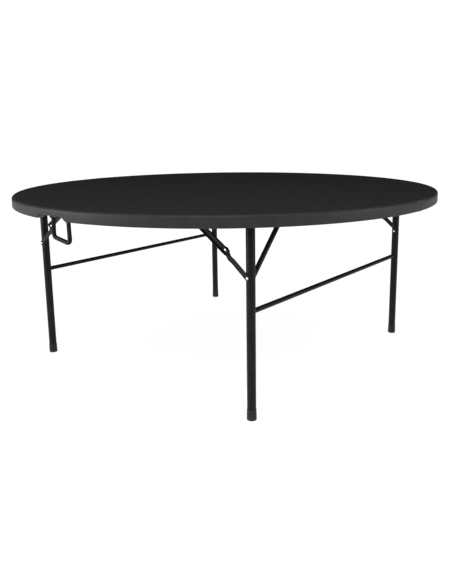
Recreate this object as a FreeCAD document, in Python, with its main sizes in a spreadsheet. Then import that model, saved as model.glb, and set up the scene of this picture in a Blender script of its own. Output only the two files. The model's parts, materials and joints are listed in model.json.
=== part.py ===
import math
import os

import FreeCAD
import Part
import Sketcher

# Round folding table: two half-moon tops joined edge to edge, and two leg frames that fold inward
# under them. The origin is on the floor under the middle of the top, +Z is up, X runs along the
# joint between the halves and Y runs along the leg frames' pivot tubes.
# Frame a stands at -X and frame b at +X. Frame b is frame a turned half a turn about Z, and each
# frame sits 20 mm off centre, so that the folded frames lie beside each other.

DRIVING = {
    # top
    "table_height": 740,
    "top_radius": 915,
    "panel_thick": 24,
    "rim_depth": 42,
    "rim_width": 28,
    "rim_draft": 3,
    "edge_round": 10,
    "lower_round": 4,
    "seam_gap": 0.4,
    # notch for the carrying handle
    "notch_depth": 15,
    "notch_half_mouth": 87,
    "notch_half_roof": 62,
    "notch_overrun": 8,
    # leg frames
    "leg_reach": 561,
    "leg_half_spread": 567,
    "frame_offset": 20,
    "leg_radius": 16,
    "tube_wall": 1.5,
    "leg_clear": 37,
    "pivot_height": 694,
    "pivot_radius": 12.5,
    "crossbar_height": 390,
    "bar_radius": 9,
    "rod_rise": 198,
    "rod_run": 182,
    "cap_height": 40,
    "cap_radius": 17.6,
    "cap_floor": 4,
    "cap_foot_bevel": 1.5,
    "cap_taper": 0.4,
    "cap_lip": 1,
    "plug_radius": 15.8,
    "plug_flange": 2.5,
    "plug_depth": 12,
    # pivot saddles
    "sheet_thick": 3,
    "running_gap": 0.05,
    "saddle_width": 36,
    "saddle_inset": 50,
    "saddle_half_length": 38,
    "saddle_screw_reach": 27,
    "screw_radius": 2,
    "screw_head_radius": 4.5,
    "screw_head": 2.5,
    "screw_bite": 13,
    # folding braces, with offsets counted outward from the axis of the leg
    "brace_reach": 230,
    "brace_drop": 184,
    "link_near": 16.5,
    "link_length": 124.8,
    "link_half_width": 9.5,
    "crank_start": 76,
    "crank_start_sag": 6,
    "crank_end": 97,
    "crank_end_sag": 11,
    "web_near": 22.2,
    "web_thick": 2,
    "channel_half_width": 12,
    "flange_depth": 10,
    "channel_lap": 18,
    "channel_tail": 12,
    "ear_near": 18.7,
    "ear_half_width": 12,
    "bracket_foot": 34,
    "bracket_screw_reach": 26,
    "bracket_screw_spread": 6,
    "rivet_radius": 3,
    "rivet_head_radius": 5,
    "rivet_head": 2.2,
    "rivet_tail": 1.4,
    "blind_depth": 3,
    "pin_tail": 1.2,
    "head_gap": 0.2,
    "washer_radius": 6.5,
    "washer_thick": 2.4,
    # plates across the joint of the halves
    "plate_length": 120,
    "plate_width": 70,
    "seam_screw_x": 40,
    "seam_screw_y": 20,
    # carrying handle
    "handle_setback": 870,
    "handle_pivot_height": 704,
    "handle_shift": -18,
    "handle_half_width": 43,
    "handle_drop": 82,
    "handle_radius": 7.5,
    "handle_corner": 14,
    "handle_boss_radius": 8,
    "handle_pin_radius": 3,
    "handle_plate_half": 62,
    "handle_plate_width": 34,
    "handle_plate_outer": 10,
    "handle_screw_reach": 25,
    "handle_side_gap": 1.5,
}

DERIVED = {
    "panel_bottom": "=table_height - panel_thick",
    "rim_bottom": "=table_height - rim_depth",
    "plate_bottom": "=table_height - panel_thick - sheet_thick",
    "leg_top": "=table_height - leg_clear",
    "front_leg": "=leg_half_spread + frame_offset",
    "back_leg": "=leg_half_spread - frame_offset",
    "rivet_height": "=pivot_height - brace_drop",
    "brace_span": "=sqrt(brace_reach ^ 2 + brace_drop ^ 2)",
    "channel_length": "=link_length + brace_reach - brace_drop",
    "elbow_along": "=(link_length ^ 2 - channel_length ^ 2 + brace_span ^ 2) / (2 * brace_span)",
    "elbow_rise": "=sqrt(link_length ^ 2 - elbow_along ^ 2)",
    "elbow_x": "=(elbow_along * brace_reach - elbow_rise * brace_drop) / brace_span",
    "elbow_z": "=(elbow_along * brace_drop + elbow_rise * brace_reach) / brace_span",
    "saddle_bore": "=pivot_radius + running_gap",
    "turning_hole": "=rivet_radius + running_gap",
}

SEAM_PLATES_AT = (-760, -380, 0, 380, 760)
HALF_TURN = 180
# The legs of frame a: "axis" is the Y of the leg, "outward" the side its brace is on, and the
# sloping stay starts on the leg that has one.
LEGS = {
    "first": {
        "axis": "- front_leg",
        "outward": -1,
        "saddle": "- front_leg + saddle_inset",
        "has_stay": False,
    },
    "second": {
        "axis": "back_leg",
        "outward": 1,
        "saddle": "back_leg - saddle_inset",
        "has_stay": True,
    },
}
SADDLE_SCREWS = ("- leg_reach - saddle_screw_reach", "- leg_reach + saddle_screw_reach")
LEAST_CUT = 1000
X_AXIS = FreeCAD.Vector(1, 0, 0)
Y_AXIS = FreeCAD.Vector(0, 1, 0)
Z_AXIS = FreeCAD.Vector(0, 0, 1)
ALONG = {
    "X": FreeCAD.Rotation(Y_AXIS, 90),
    "Y": FreeCAD.Rotation(X_AXIS, -90),
    "Z": FreeCAD.Rotation(),
}

doc = FreeCAD.newDocument("folding_table")
sheet = doc.addObject("Spreadsheet::Sheet", "dims")
nodes = []


def fill_sheet():
    """Write every size into the sheet, with its name beside it and as its alias."""
    for row, (name, content) in enumerate({**DRIVING, **DERIVED}.items(), start=1):
        sheet.set("A%d" % row, name)
        sheet.set("B%d" % row, str(content))
        sheet.setAlias("B%d" % row, name)
    doc.recompute()


def size(name):
    return float(sheet.get(name))


def bind(item, formulas):
    """Tie an object's properties to formulas on the sheet's aliases."""
    for path, formula in formulas.items():
        item.setExpression(path, formula)


def sheet_formula(text):
    """Turn bare alias names into references to the sheet."""
    words = []
    for word in str(text).split():
        words.append("dims." + word if word in DRIVING or word in DERIVED else word)
    return " ".join(words)


def at_formulas(at):
    return {"Placement.Base." + axis: sheet_formula(text) for axis, text in zip("xyz", at)}


def box(name, length, width, height, at):
    item = doc.addObject("Part::Box", name)
    bind(item, {"Length": sheet_formula(length), "Width": sheet_formula(width)})
    bind(item, {"Height": sheet_formula(height)})
    bind(item, at_formulas(at))
    return item


def cylinder(name, radius, height, at, along="Z"):
    item = doc.addObject("Part::Cylinder", name)
    item.Placement = FreeCAD.Placement(FreeCAD.Vector(), ALONG[along])
    bind(item, {"Radius": sheet_formula(radius), "Height": sheet_formula(height)})
    bind(item, at_formulas(at))
    return item


def fuse(name, parts):
    item = doc.addObject("Part::MultiFuse", name)
    item.Shapes = parts
    return item


def cut(name, base, tool):
    item = doc.addObject("Part::Cut", name)
    item.Base = base
    item.Tool = tool
    return item


def node(label, item, placement=FreeCAD.Placement()):
    """Give a finished piece its name and its place, and list it for export."""
    item.Label = label
    item.Placement = placement
    nodes.append(item)


def shifted(placement, x, y, z, rotation=FreeCAD.Rotation()):
    return placement.multiply(FreeCAD.Placement(FreeCAD.Vector(x, y, z), rotation))


def plane(body, role):
    return [feature for feature in body.Origin.OriginFeatures if feature.Role == role][0]


def outline_sketch(body, name, points):
    """A closed outline on the body's XZ plane, each corner held at two sheet formulas."""
    sketch = body.newObject("Sketcher::SketchObject", name)
    sketch.AttachmentSupport = [(plane(body, "XZ_Plane"), "")]
    sketch.MapMode = "FlatFace"
    corners = [[sheet_value(text) for text in point] for point in points]
    count = len(corners)
    for index in range(count):
        start = FreeCAD.Vector(*corners[index], 0)
        end = FreeCAD.Vector(*corners[(index + 1) % count], 0)
        sketch.addGeometry(Part.LineSegment(start, end), False)
    for index in range(count):
        following = (index + 1) % count
        sketch.addConstraint(Sketcher.Constraint("Coincident", index, 2, following, 1))
    for index, point in enumerate(points):
        for kind, axis, text in (("DistanceX", -2, point[0]), ("DistanceY", -1, point[1])):
            if sheet_value(text) == 0:
                sketch.addConstraint(Sketcher.Constraint("PointOnObject", index, 1, axis))
                continue
            place = sketch.addConstraint(Sketcher.Constraint(kind, index, 1, sheet_value(text)))
            sketch.setExpression("Constraints[%d]" % place, sheet_formula(text))
    return sketch


def sheet_value(text):
    """The number that a formula of alias names, numbers, + and - stands for."""
    total = 0.0
    sign = 1
    for word in str(text).split():
        if word in "+-":
            sign = 1 if word == "+" else -1
        else:
            total += sign * (size(word) if word in DRIVING or word in DERIVED else float(word))
            sign = 1
    return total


def turned_body(name, points):
    """A body of revolution about Z from a closed outline of (radius, height) corners."""
    body = doc.addObject("PartDesign::Body", name)
    sketch = outline_sketch(body, name + "_outline", points)
    turn = body.newObject("PartDesign::Revolution", name + "_turn")
    turn.Profile = sketch
    turn.ReferenceAxis = (sketch, ["V_Axis"])
    return body, turn


def round_edges(body, name, radius, heights):
    """Fillet the round edges that lie flat at the given heights on the outside of the rim."""
    base = body.Tip
    chosen = []
    for index, edge in enumerate(base.Shape.Edges, start=1):
        if not isinstance(edge.Curve, Part.Circle):
            continue
        outer = abs(edge.Curve.Radius - size("top_radius")) < 0.1
        if outer and any(abs(edge.Curve.Center.z - height) < 0.1 for height in heights):
            chosen.append("Edge%d" % index)
    fillet = body.newObject("PartDesign::Fillet", name)
    fillet.Base = (base, chosen)
    fillet.setExpression("Radius", sheet_formula(radius))
    doc.recompute()


def top_half(label, placement, notched):
    """A half-moon with a skirt round its curved edge; the front one is notched for the handle."""
    outline = [
        ("0", "panel_bottom"),
        ("top_radius - rim_width - rim_draft", "panel_bottom"),
        ("top_radius - rim_width", "rim_bottom"),
        ("top_radius", "rim_bottom"),
        ("top_radius", "table_height"),
        ("0", "table_height"),
    ]
    body, turn = turned_body(label + "_body", outline)
    turn.Angle = HALF_TURN
    doc.recompute()
    if turn.Shape.BoundBox.YMax > 1:
        turn.Reversed = True
        doc.recompute()
    round_edges(body, label + "_upper_edge", "edge_round", [size("table_height")])
    round_edges(body, label + "_lower_edge", "lower_round", [size("rim_bottom")])
    if notched:
        cut_notch(body, label)
    node(label, body, placement)


def cut_notch(body, label):
    """Open the skirt's lower edge at the handle, with sloped ends."""
    before = body.Shape.Volume
    outline = [
        ("handle_shift - notch_half_mouth", "rim_bottom"),
        ("handle_shift - notch_half_mouth", "rim_bottom - notch_overrun"),
        ("handle_shift + notch_half_mouth", "rim_bottom - notch_overrun"),
        ("handle_shift + notch_half_mouth", "rim_bottom"),
        ("handle_shift + notch_half_roof", "rim_bottom + notch_depth"),
        ("handle_shift - notch_half_roof", "rim_bottom + notch_depth"),
    ]
    sketch = outline_sketch(body, label + "_notch_outline", outline)
    pocket = body.newObject("PartDesign::Pocket", label + "_notch")
    pocket.Profile = sketch
    pocket.setExpression("Length", sheet_formula("top_radius + rim_width"))
    pocket.Reversed = True
    doc.recompute()
    if before - body.Shape.Volume < LEAST_CUT:
        raise RuntimeError("the notch cut nothing")


def screws(label, places, placement=FreeCAD.Placement()):
    """Pan-head screws driven upward into the panel, one at each (x, y) pair of formulas."""
    parts = []
    for index, (x, y) in enumerate(places):
        name = "%s_%d" % (label, index)
        shank_at = (x, y, "plate_bottom")
        shank = cylinder(name + "_shank", "screw_radius", "sheet_thick + screw_bite", shank_at)
        head_at = (x, y, "plate_bottom - screw_head")
        head = cylinder(name + "_head", "screw_head_radius", "screw_head", head_at)
        parts.append(fuse(name, [shank, head]))
    node(label, fuse(label + "_group", parts), placement)


def seam_joint():
    """Flat plates under the panel, screwed across the joint of the two halves."""
    plates = []
    places = []
    for index, middle in enumerate(SEAM_PLATES_AT):
        name = "seam_plate_%d" % index
        corner = ("%g - plate_length / 2" % middle, "- plate_width / 2", "plate_bottom")
        sheet_piece = box(name, "plate_length", "plate_width", "sheet_thick", corner)
        holes = []
        for x in ("%g - seam_screw_x" % middle, "%g + seam_screw_x" % middle):
            for y in ("- seam_screw_y", "seam_screw_y"):
                hole_name = "%s_hole_%d" % (name, len(holes))
                at = (x, y, "plate_bottom")
                holes.append(cylinder(hole_name, "screw_radius", "sheet_thick", at))
                places.append((x, y))
        plates.append(cut(name + "_cut", sheet_piece, fuse(name + "_holes", holes)))
    node("seam_plates", fuse("seam_plates_group", plates))
    screws("seam_screws", places)


def leg_tool(name, leg):
    """A solid as thick as the leg tube, to cope the ends of the tubes that meet it."""
    return cylinder(name, "leg_radius", "table_height", ("- leg_reach", leg["axis"], "0"))


def leg_tube(label, leg, turn):
    """A round tube, open at both ends, drilled along Y for the brace rivet.

    The hole goes through both walls, but through the outer wall alone where a stay is welded on.
    """
    at = ("- leg_reach", leg["axis"], "cap_floor")
    outer = cylinder(label + "_outer", "leg_radius", "leg_top - cap_floor", at)
    inner = cylinder(label + "_inner", "leg_radius - tube_wall", "leg_top - cap_floor", at)
    near = "0" if leg["has_stay"] else "- leg_radius"
    depth = "leg_radius" if leg["has_stay"] else "2 * leg_radius"
    drill_at = ("- leg_reach", layer(leg, near, depth), "rivet_height")
    drill = cylinder(label + "_drill", "rivet_radius", depth, drill_at, "Y")
    node(label, cut(label + "_cut", outer, fuse(label + "_void", [inner, drill])), turn)


def foot_cap(label, leg, turn):
    """A moulded cup on the end of the leg, a little wider at its foot."""
    outline = [
        ("0", "0"),
        ("cap_radius - cap_foot_bevel", "0"),
        ("cap_radius", "cap_foot_bevel"),
        ("cap_radius - cap_taper", "cap_height - cap_lip"),
        ("cap_radius - cap_lip", "cap_height"),
        ("leg_radius", "cap_height"),
        ("leg_radius", "cap_floor"),
        ("0", "cap_floor"),
    ]
    body, feature = turned_body(label + "_body", outline)
    feature.Angle = 360
    node(label, body, shifted(turn, -size("leg_reach"), sheet_value(leg["axis"]), 0))


def leg_plugs(label, turn):
    """Flanged plugs in the tops of the two leg tubes."""
    parts = []
    for side, leg in LEGS.items():
        at = ("- leg_reach", leg["axis"], "leg_top")
        low = ("- leg_reach", leg["axis"], "leg_top - plug_depth")
        flange = cylinder(label + side + "_flange", "plug_radius", "plug_flange", at)
        spigot = cylinder(label + side + "_spigot", "leg_radius - tube_wall", "plug_depth", low)
        parts.append(fuse(label + side, [flange, spigot]))
    node(label, fuse(label + "_group", parts), turn)


def cross_tube(label, radius, height, turn):
    """A tube along Y between the two legs, with both ends coped to them."""
    low_end = ("- leg_reach", "- front_leg", height)
    outer = cylinder(label + "_outer", radius, "front_leg + back_leg", low_end, "Y")
    inner = cylinder(label + "_inner", radius + " - tube_wall", "front_leg + back_leg", low_end, "Y")
    copes = [leg_tool(label + "_cope_" + side, leg) for side, leg in LEGS.items()]
    node(label, cut(label + "_cut", outer, fuse(label + "_void", [inner] + copes)), turn)


def stay_rod(label, turn):
    """The one sloping tube of a frame, from its leg at +Y up to the pivot tube."""
    length = math.hypot(size("rod_run"), size("rod_rise"))
    slope = FreeCAD.Rotation(X_AXIS, math.degrees(math.atan2(size("rod_run"), size("rod_rise"))))
    foot = FreeCAD.Vector(
        -size("leg_reach"), size("back_leg"), size("pivot_height") - size("rod_rise")
    )
    tubes = []
    for name, radius in (("_outer", "bar_radius"), ("_inner", "bar_radius - tube_wall")):
        item = doc.addObject("Part::Cylinder", label + name)
        bind(item, {"Radius": sheet_formula(radius)})
        item.Height = length
        item.Placement = FreeCAD.Placement(foot, slope)
        tubes.append(item)
    at = ("- leg_reach", "- front_leg", "pivot_height")
    pivot = cylinder(label + "_cope_top", "pivot_radius", "front_leg + back_leg", at, "Y")
    leg = leg_tool(label + "_cope_foot", LEGS["second"])
    node(label, cut(label + "_cut", tubes[0], fuse(label + "_void", [tubes[1], pivot, leg])), turn)


def saddle(label, middle, turn):
    """A bent strap under the pivot tube, with an ear on each side screwed to the panel."""
    low = middle + " - saddle_width / 2"
    depth = "panel_bottom - pivot_height"
    round_at = ("- leg_reach", low, "pivot_height")
    wall_at = ("- leg_reach - saddle_bore - sheet_thick", low, "pivot_height")
    ears_at = ("- leg_reach - saddle_half_length", low, "plate_bottom")
    solid = fuse(label + "_solid", [
        cylinder(label + "_round", "saddle_bore + sheet_thick", "saddle_width", round_at, "Y"),
        box(label + "_walls", "2 * saddle_bore + 2 * sheet_thick", "saddle_width", depth, wall_at),
        box(label + "_ears", "2 * saddle_half_length", "saddle_width", "sheet_thick", ears_at),
    ])
    holes = [
        cylinder(label + "_bore", "saddle_bore", "saddle_width", round_at, "Y"),
        box(label + "_slot", "2 * saddle_bore", "saddle_width", depth,
            ("- leg_reach - saddle_bore", low, "pivot_height")),
    ]
    for index, x in enumerate(SADDLE_SCREWS):
        name = "%s_hole_%d" % (label, index)
        holes.append(cylinder(name, "screw_radius", "sheet_thick", (x, middle, "plate_bottom")))
    node(label, cut(label + "_cut", solid, fuse(label + "_void", holes)), turn)


def negated(text):
    """The same sum of terms with every sign turned."""
    turned = {"+": "-", "-": "+"}
    words = text.split()
    if words[0] != "-":
        words = ["+"] + words
    return " ".join(turned.get(word, word) for word in words).removeprefix("+ ")


def own_layer(leg, near, thick):
    """The lower Y of a layer beside a leg's axis: it starts near, outward, and is thick."""
    return near if leg["outward"] > 0 else negated(near + " + " + thick)


def layer(leg, near, thick):
    """As own_layer, but counted from the middle of the table."""
    return leg["axis"] + " + " + own_layer(leg, near, thick)


def slanted(leg, turn, start, end):
    """The place of a brace piece: its origin is at start and its own X axis points at end.

    Both are counted from the leg rivet, as X toward the middle of the table and Z up.
    """
    slope = math.degrees(math.atan2(end[1] - start[1], end[0] - start[0]))
    rotation = FreeCAD.Rotation(Y_AXIS, -slope)
    x = start[0] - size("leg_reach")
    z = start[1] + size("rivet_height")
    return shifted(turn, x, sheet_value(leg["axis"]), z, rotation)


def link_place(leg, turn):
    return slanted(leg, turn, (0, 0), (size("elbow_x"), size("elbow_z")))


def channel_place(leg, turn):
    elbow = (size("elbow_x"), size("elbow_z"))
    return slanted(leg, turn, elbow, (size("brace_reach"), size("brace_drop")))


def bar_piece(name, start, end, low):
    """A flat bar with round ends between two points of a link's own XZ plane."""
    run = sheet_value(end[0]) - sheet_value(start[0])
    rise = sheet_value(end[1]) - sheet_value(start[1])
    item = doc.addObject("Part::Box", name)
    item.Length = math.hypot(run, rise)
    bind(item, {"Width": "dims.sheet_thick", "Height": "2 * dims.link_half_width"})
    tilt = FreeCAD.Rotation(Y_AXIS, -math.degrees(math.atan2(rise, run)))
    corner = tilt.multVec(FreeCAD.Vector(0, 0, -size("link_half_width")))
    place = FreeCAD.Vector(sheet_value(start[0]), sheet_value(low), sheet_value(start[1]))
    item.Placement = FreeCAD.Placement(place + corner, tilt)
    ends = []
    for tag, (x, z) in (("_a", start), ("_b", end)):
        ends.append(cylinder(name + tag, "link_half_width", "sheet_thick", (x, low, z), "Y"))
    return fuse(name + "_run", [item] + ends)


def brace_link(label, leg, turn):
    """The lower, cranked flat bar of a brace, from the leg rivet up to the elbow.

    The elbow stands a little above the straight line from the rivet to the bracket pin.
    """
    low = own_layer(leg, "link_near", "sheet_thick")
    corners = [
        ("0", "0"),
        ("crank_start", "- crank_start_sag"),
        ("crank_end", "- crank_end_sag"),
        ("link_length", "0"),
    ]
    bars = []
    for index, (start, end) in enumerate(zip(corners, corners[1:])):
        bars.append(bar_piece("%s_%d" % (label, index), start, end, low))
    low_at = ("0", low, "0")
    high_at = ("link_length", low, "0")
    holes = [
        cylinder(label + "_low_hole", "turning_hole", "sheet_thick", low_at, "Y"),
        cylinder(label + "_high_hole", "rivet_radius", "sheet_thick", high_at, "Y"),
    ]
    link = cut(label + "_cut", fuse(label + "_bars", bars), fuse(label + "_holes", holes))
    node(label, link, link_place(leg, turn))


def elbow_stud(label, leg, turn):
    """The link's half of the elbow rivet, with the washer that spaces the channel off it."""
    shank_at = ("link_length", own_layer(leg, "link_near", "sheet_thick"), "0")
    washer_low = own_layer(leg, "link_near + sheet_thick", "washer_thick")
    washer_at = ("link_length", washer_low, "0")
    parts = [
        cylinder(label + "_shank", "rivet_radius", "sheet_thick", shank_at, "Y"),
        cylinder(label + "_washer", "washer_radius", "washer_thick", washer_at, "Y"),
    ]
    node(label, fuse(label + "_solid", parts), link_place(leg, turn))


def brace_channel(label, leg, turn):
    """The upper channel of a brace, open outward, from past the elbow up to the bracket pin."""
    length = "channel_lap + channel_length + channel_tail"
    web_low = own_layer(leg, "web_near", "web_thick")
    flange_low = own_layer(leg, "web_near", "flange_depth")
    wide = "2 * channel_half_width"
    web_at = ("- channel_lap", web_low, "- channel_half_width")
    low_at = ("- channel_lap", flange_low, "- channel_half_width")
    high_at = ("- channel_lap", flange_low, "channel_half_width - web_thick")
    parts = [
        box(label + "_web", length, "web_thick", wide, web_at),
        box(label + "_low_flange", length, "flange_depth", "web_thick", low_at),
        box(label + "_high_flange", length, "flange_depth", "web_thick", high_at),
    ]
    elbow_at = ("0", web_low, "0")
    pin_at = ("channel_length", web_low, "0")
    holes = [
        cylinder(label + "_low_hole", "rivet_radius", "web_thick", elbow_at, "Y"),
        cylinder(label + "_high_hole", "turning_hole", "web_thick", pin_at, "Y"),
    ]
    channel = cut(label + "_cut", fuse(label + "_solid", parts), fuse(label + "_holes", holes))
    node(label, channel, channel_place(leg, turn))


def elbow_rivet(label, leg, turn):
    """The channel's half of the elbow rivet: a head on the web and a shank that fills its hole."""
    shank_low = own_layer(leg, "web_near", "web_thick")
    head_low = own_layer(leg, "web_near + web_thick", "rivet_head")
    parts = [
        cylinder(label + "_shank", "rivet_radius", "web_thick", ("0", shank_low, "0"), "Y"),
        cylinder(label + "_head", "rivet_head_radius", "rivet_head", ("0", head_low, "0"), "Y"),
    ]
    node(label, fuse(label + "_solid", parts), channel_place(leg, turn))


def pin_group(label, turn, x, z, spans):
    """One pin along Y for each leg; its steps are (radius, near, thick) outward from the leg."""
    pins = []
    for side, steps in spans.items():
        parts = []
        for index, (radius, near, thick) in enumerate(steps):
            name = "%s_%s_%d" % (label, side, index)
            at = (x, layer(LEGS[side], near, thick), z)
            parts.append(cylinder(name, radius, thick, at, "Y"))
        pins.append(fuse("%s_%s" % (label, side), parts))
    node(label, fuse(label + "_group", pins), turn)


def leg_rivets(label, turn):
    """Rivets that hold the links: through both walls of a leg, or blind where a stay is welded on."""
    head = ("rivet_head_radius", "link_near + sheet_thick", "rivet_head")
    through = [
        ("rivet_head_radius", "- leg_radius - rivet_tail", "rivet_tail"),
        ("rivet_radius", "- leg_radius", "leg_radius + link_near + sheet_thick"),
        head,
    ]
    inner_end = "leg_radius - tube_wall - blind_depth"
    length = "tube_wall + blind_depth + link_near + sheet_thick - leg_radius"
    blind = [("rivet_radius", inner_end, length), head]
    spans = {side: blind if leg["has_stay"] else through for side, leg in LEGS.items()}
    pin_group(label, turn, "- leg_reach", "rivet_height", spans)


def bracket_pins(label, turn):
    """Pins on which the channels turn, held in the brackets' ears."""
    steps = [
        ("rivet_head_radius", "ear_near - pin_tail", "pin_tail"),
        ("rivet_radius", "ear_near", "web_near + web_thick + head_gap - ear_near"),
        ("rivet_head_radius", "web_near + web_thick + head_gap", "rivet_head"),
    ]
    spans = {side: steps for side in LEGS}
    pin_group(label, turn, "brace_reach - leg_reach", "pivot_height", spans)


def brace_bracket(label, leg, turn):
    """An angle under the panel: a foot with two screw holes and an ear for the channel's pin."""
    middle = "brace_reach - leg_reach"
    ear_low = layer(leg, "ear_near", "sheet_thick")
    foot_low = layer(leg, "ear_near", "bracket_foot")
    left = middle + " - ear_half_width"
    ear_height = "panel_bottom - pivot_height"
    pin_at = (middle, ear_low, "pivot_height")
    ear_at = (left, ear_low, "pivot_height")
    foot_at = (left, foot_low, "plate_bottom")
    solid = fuse(label + "_solid", [
        cylinder(label + "_eye", "ear_half_width", "sheet_thick", pin_at, "Y"),
        box(label + "_ear", "2 * ear_half_width", "sheet_thick", ear_height, ear_at),
        box(label + "_foot", "2 * ear_half_width", "bracket_foot", "sheet_thick", foot_at),
    ])
    holes = [cylinder(label + "_hole", "rivet_radius", "sheet_thick", pin_at, "Y")]
    for index, (x, y) in enumerate(bracket_screw_places(leg)):
        name = "%s_screw_hole_%d" % (label, index)
        holes.append(cylinder(name, "screw_radius", "sheet_thick", (x, y, "plate_bottom")))
    node(label, cut(label + "_cut", solid, fuse(label + "_void", holes)), turn)


def bracket_screw_places(leg):
    """Two screws side by side in the foot of a bracket."""
    y = layer(leg, "ear_near + bracket_screw_reach", "0")
    middle = "brace_reach - leg_reach"
    return [(middle + " - bracket_screw_spread", y), (middle + " + bracket_screw_spread", y)]


def leg_frame(frame, turn, sides):
    """Everything of one leg frame, with its saddles and its two braces."""
    cross_tube("pivot_tube_" + frame, "pivot_radius", "pivot_height", turn)
    cross_tube("crossbar_" + frame, "bar_radius", "crossbar_height", turn)
    stay_rod("stay_rod_" + frame, turn)
    leg_plugs("leg_plugs_" + frame, turn)
    leg_rivets("leg_rivets_" + frame, turn)
    bracket_pins("bracket_pins_" + frame, turn)
    saddle_places = []
    bracket_places = []
    for name, leg in LEGS.items():
        ending = "%s_%s" % (frame, sides[name])
        leg_tube("leg_" + ending, leg, turn)
        foot_cap("foot_cap_" + ending, leg, turn)
        saddle("saddle_" + ending, leg["saddle"], turn)
        brace_link("brace_link_" + ending, leg, turn)
        elbow_stud("elbow_stud_" + ending, leg, turn)
        brace_channel("brace_channel_" + ending, leg, turn)
        elbow_rivet("elbow_rivet_" + ending, leg, turn)
        brace_bracket("brace_bracket_" + ending, leg, turn)
        saddle_places += [(x, leg["saddle"]) for x in SADDLE_SCREWS]
        bracket_places += bracket_screw_places(leg)
    screws("saddle_screws_" + frame, saddle_places, turn)
    screws("bracket_screws_" + frame, bracket_places, turn)


def handle():
    """A round bar bent to a U, with an eye at the top of each arm, hanging from its axis."""
    straight = "handle_drop - handle_corner"
    bottom = "handle_pivot_height - handle_drop"
    corner_x = size("handle_half_width") - size("handle_corner")
    corner_z = size("handle_pivot_height") - size("handle_drop") + size("handle_corner")
    parts = []
    for index, side in enumerate((-1, 1)):
        sign = "-" if side < 0 else "+"
        arm_x = "handle_shift %s handle_half_width" % sign
        arm_at = (arm_x, "- handle_setback", bottom + " + handle_corner")
        parts.append(cylinder("handle_arm_%d" % index, "handle_radius", straight, arm_at))
        eye_at = (arm_x + " - handle_radius", "- handle_setback", "handle_pivot_height")
        eye_name = "handle_eye_%d" % index
        parts.append(cylinder(eye_name, "handle_boss_radius", "2 * handle_radius", eye_at, "X"))
        bend = doc.addObject("Part::Torus", "handle_bend_%d" % index)
        bind(bend, {"Radius1": "dims.handle_corner", "Radius2": "dims.handle_radius"})
        bend.Angle3 = 90
        first_turn = FreeCAD.Rotation(X_AXIS, 90)
        quarter = FreeCAD.Rotation(Y_AXIS, 90 if side > 0 else HALF_TURN)
        middle = size("handle_shift") + side * corner_x
        centre = FreeCAD.Vector(middle, -size("handle_setback"), corner_z)
        bend.Placement = FreeCAD.Placement(centre, quarter.multiply(first_turn))
        parts.append(bend)
    grip_at = ("handle_shift + handle_corner - handle_half_width", "- handle_setback", bottom)
    grip_length = "2 * handle_half_width - 2 * handle_corner"
    parts.append(cylinder("handle_grip", "handle_radius", grip_length, grip_at, "X"))
    bore_at = ("handle_shift - handle_plate_half", "- handle_setback", "handle_pivot_height")
    bore_radius = "handle_pin_radius + running_gap"
    bore = cylinder("handle_bore", bore_radius, "2 * handle_plate_half", bore_at, "X")
    node("handle", cut("handle_cut", fuse("handle_solid", parts), bore))


def handle_mount():
    """The plate with two ears that holds the handle's pins, and its screws."""
    setback = "- handle_setback"
    wide = "2 * handle_plate_half"
    left = "handle_shift - handle_plate_half"
    plate_at = (left, setback + " - handle_plate_outer", "plate_bottom")
    solids = [box("handle_plate", wide, "handle_plate_width", "sheet_thick", plate_at)]
    ear_near = "handle_half_width + handle_radius + handle_side_gap"
    ear_height = "panel_bottom - handle_pivot_height"
    ears = {
        "left": "handle_shift + " + negated(ear_near + " + sheet_thick"),
        "right": "handle_shift + " + ear_near,
    }
    for side, x in ears.items():
        ear_at = (x, setback + " - handle_boss_radius", "handle_pivot_height")
        name = "handle_ear_" + side
        solids.append(box(name, "sheet_thick", "2 * handle_boss_radius", ear_height, ear_at))
        eye_at = (x, setback, "handle_pivot_height")
        solids.append(cylinder(name + "_eye", "handle_boss_radius", "sheet_thick", eye_at, "X"))
    bore_at = (left, setback, "handle_pivot_height")
    holes = [cylinder("handle_ear_bore", "handle_pin_radius", wide, bore_at, "X")]
    places = [
        ("handle_shift - handle_screw_reach", setback),
        ("handle_shift + handle_screw_reach", setback),
    ]
    for index, (x, y) in enumerate(places):
        hole_at = (x, y, "plate_bottom")
        holes.append(cylinder("handle_hole_%d" % index, "screw_radius", "sheet_thick", hole_at))
    solid = fuse("handle_bracket_solid", solids)
    node("handle_bracket", cut("handle_bracket_cut", solid, fuse("handle_bracket_void", holes)))
    screws("handle_screws", places)
    handle_pins(ear_near)


def handle_pins(ear_near):
    """Short headed pins, pressed into the ears, on which the handle swings."""
    inner = "handle_half_width - handle_radius"
    shank = "2 * handle_radius + handle_side_gap + sheet_thick"
    head_near = ear_near + " + sheet_thick"
    pins = []
    for name, shank_x, head_x in (
        ("left", negated(inner + " + " + shank), negated(head_near + " + rivet_head")),
        ("right", inner, head_near),
    ):
        shank_at = ("handle_shift + " + shank_x, "- handle_setback", "handle_pivot_height")
        head_at = ("handle_shift + " + head_x, "- handle_setback", "handle_pivot_height")
        pins.append(fuse("handle_pin_" + name, [
            cylinder("handle_pin_shank_" + name, "handle_pin_radius", shank, shank_at, "X"),
            cylinder("handle_pin_head_" + name, "rivet_head_radius", "rivet_head", head_at, "X"),
        ]))
    node("handle_pins", fuse("handle_pins_group", pins))


def check_document():
    """Stop if any object failed, or any piece is empty or not a valid shape."""
    doc.recompute()
    for item in doc.Objects:
        if "Invalid" in item.State or "Error" in item.State:
            raise RuntimeError("%s failed: %s" % (item.Label, item.State))
    for item in nodes:
        if item.Shape.isNull() or not item.Shape.isValid() or not item.Shape.Solids:
            raise RuntimeError("%s has no valid solid" % item.Label)


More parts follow.
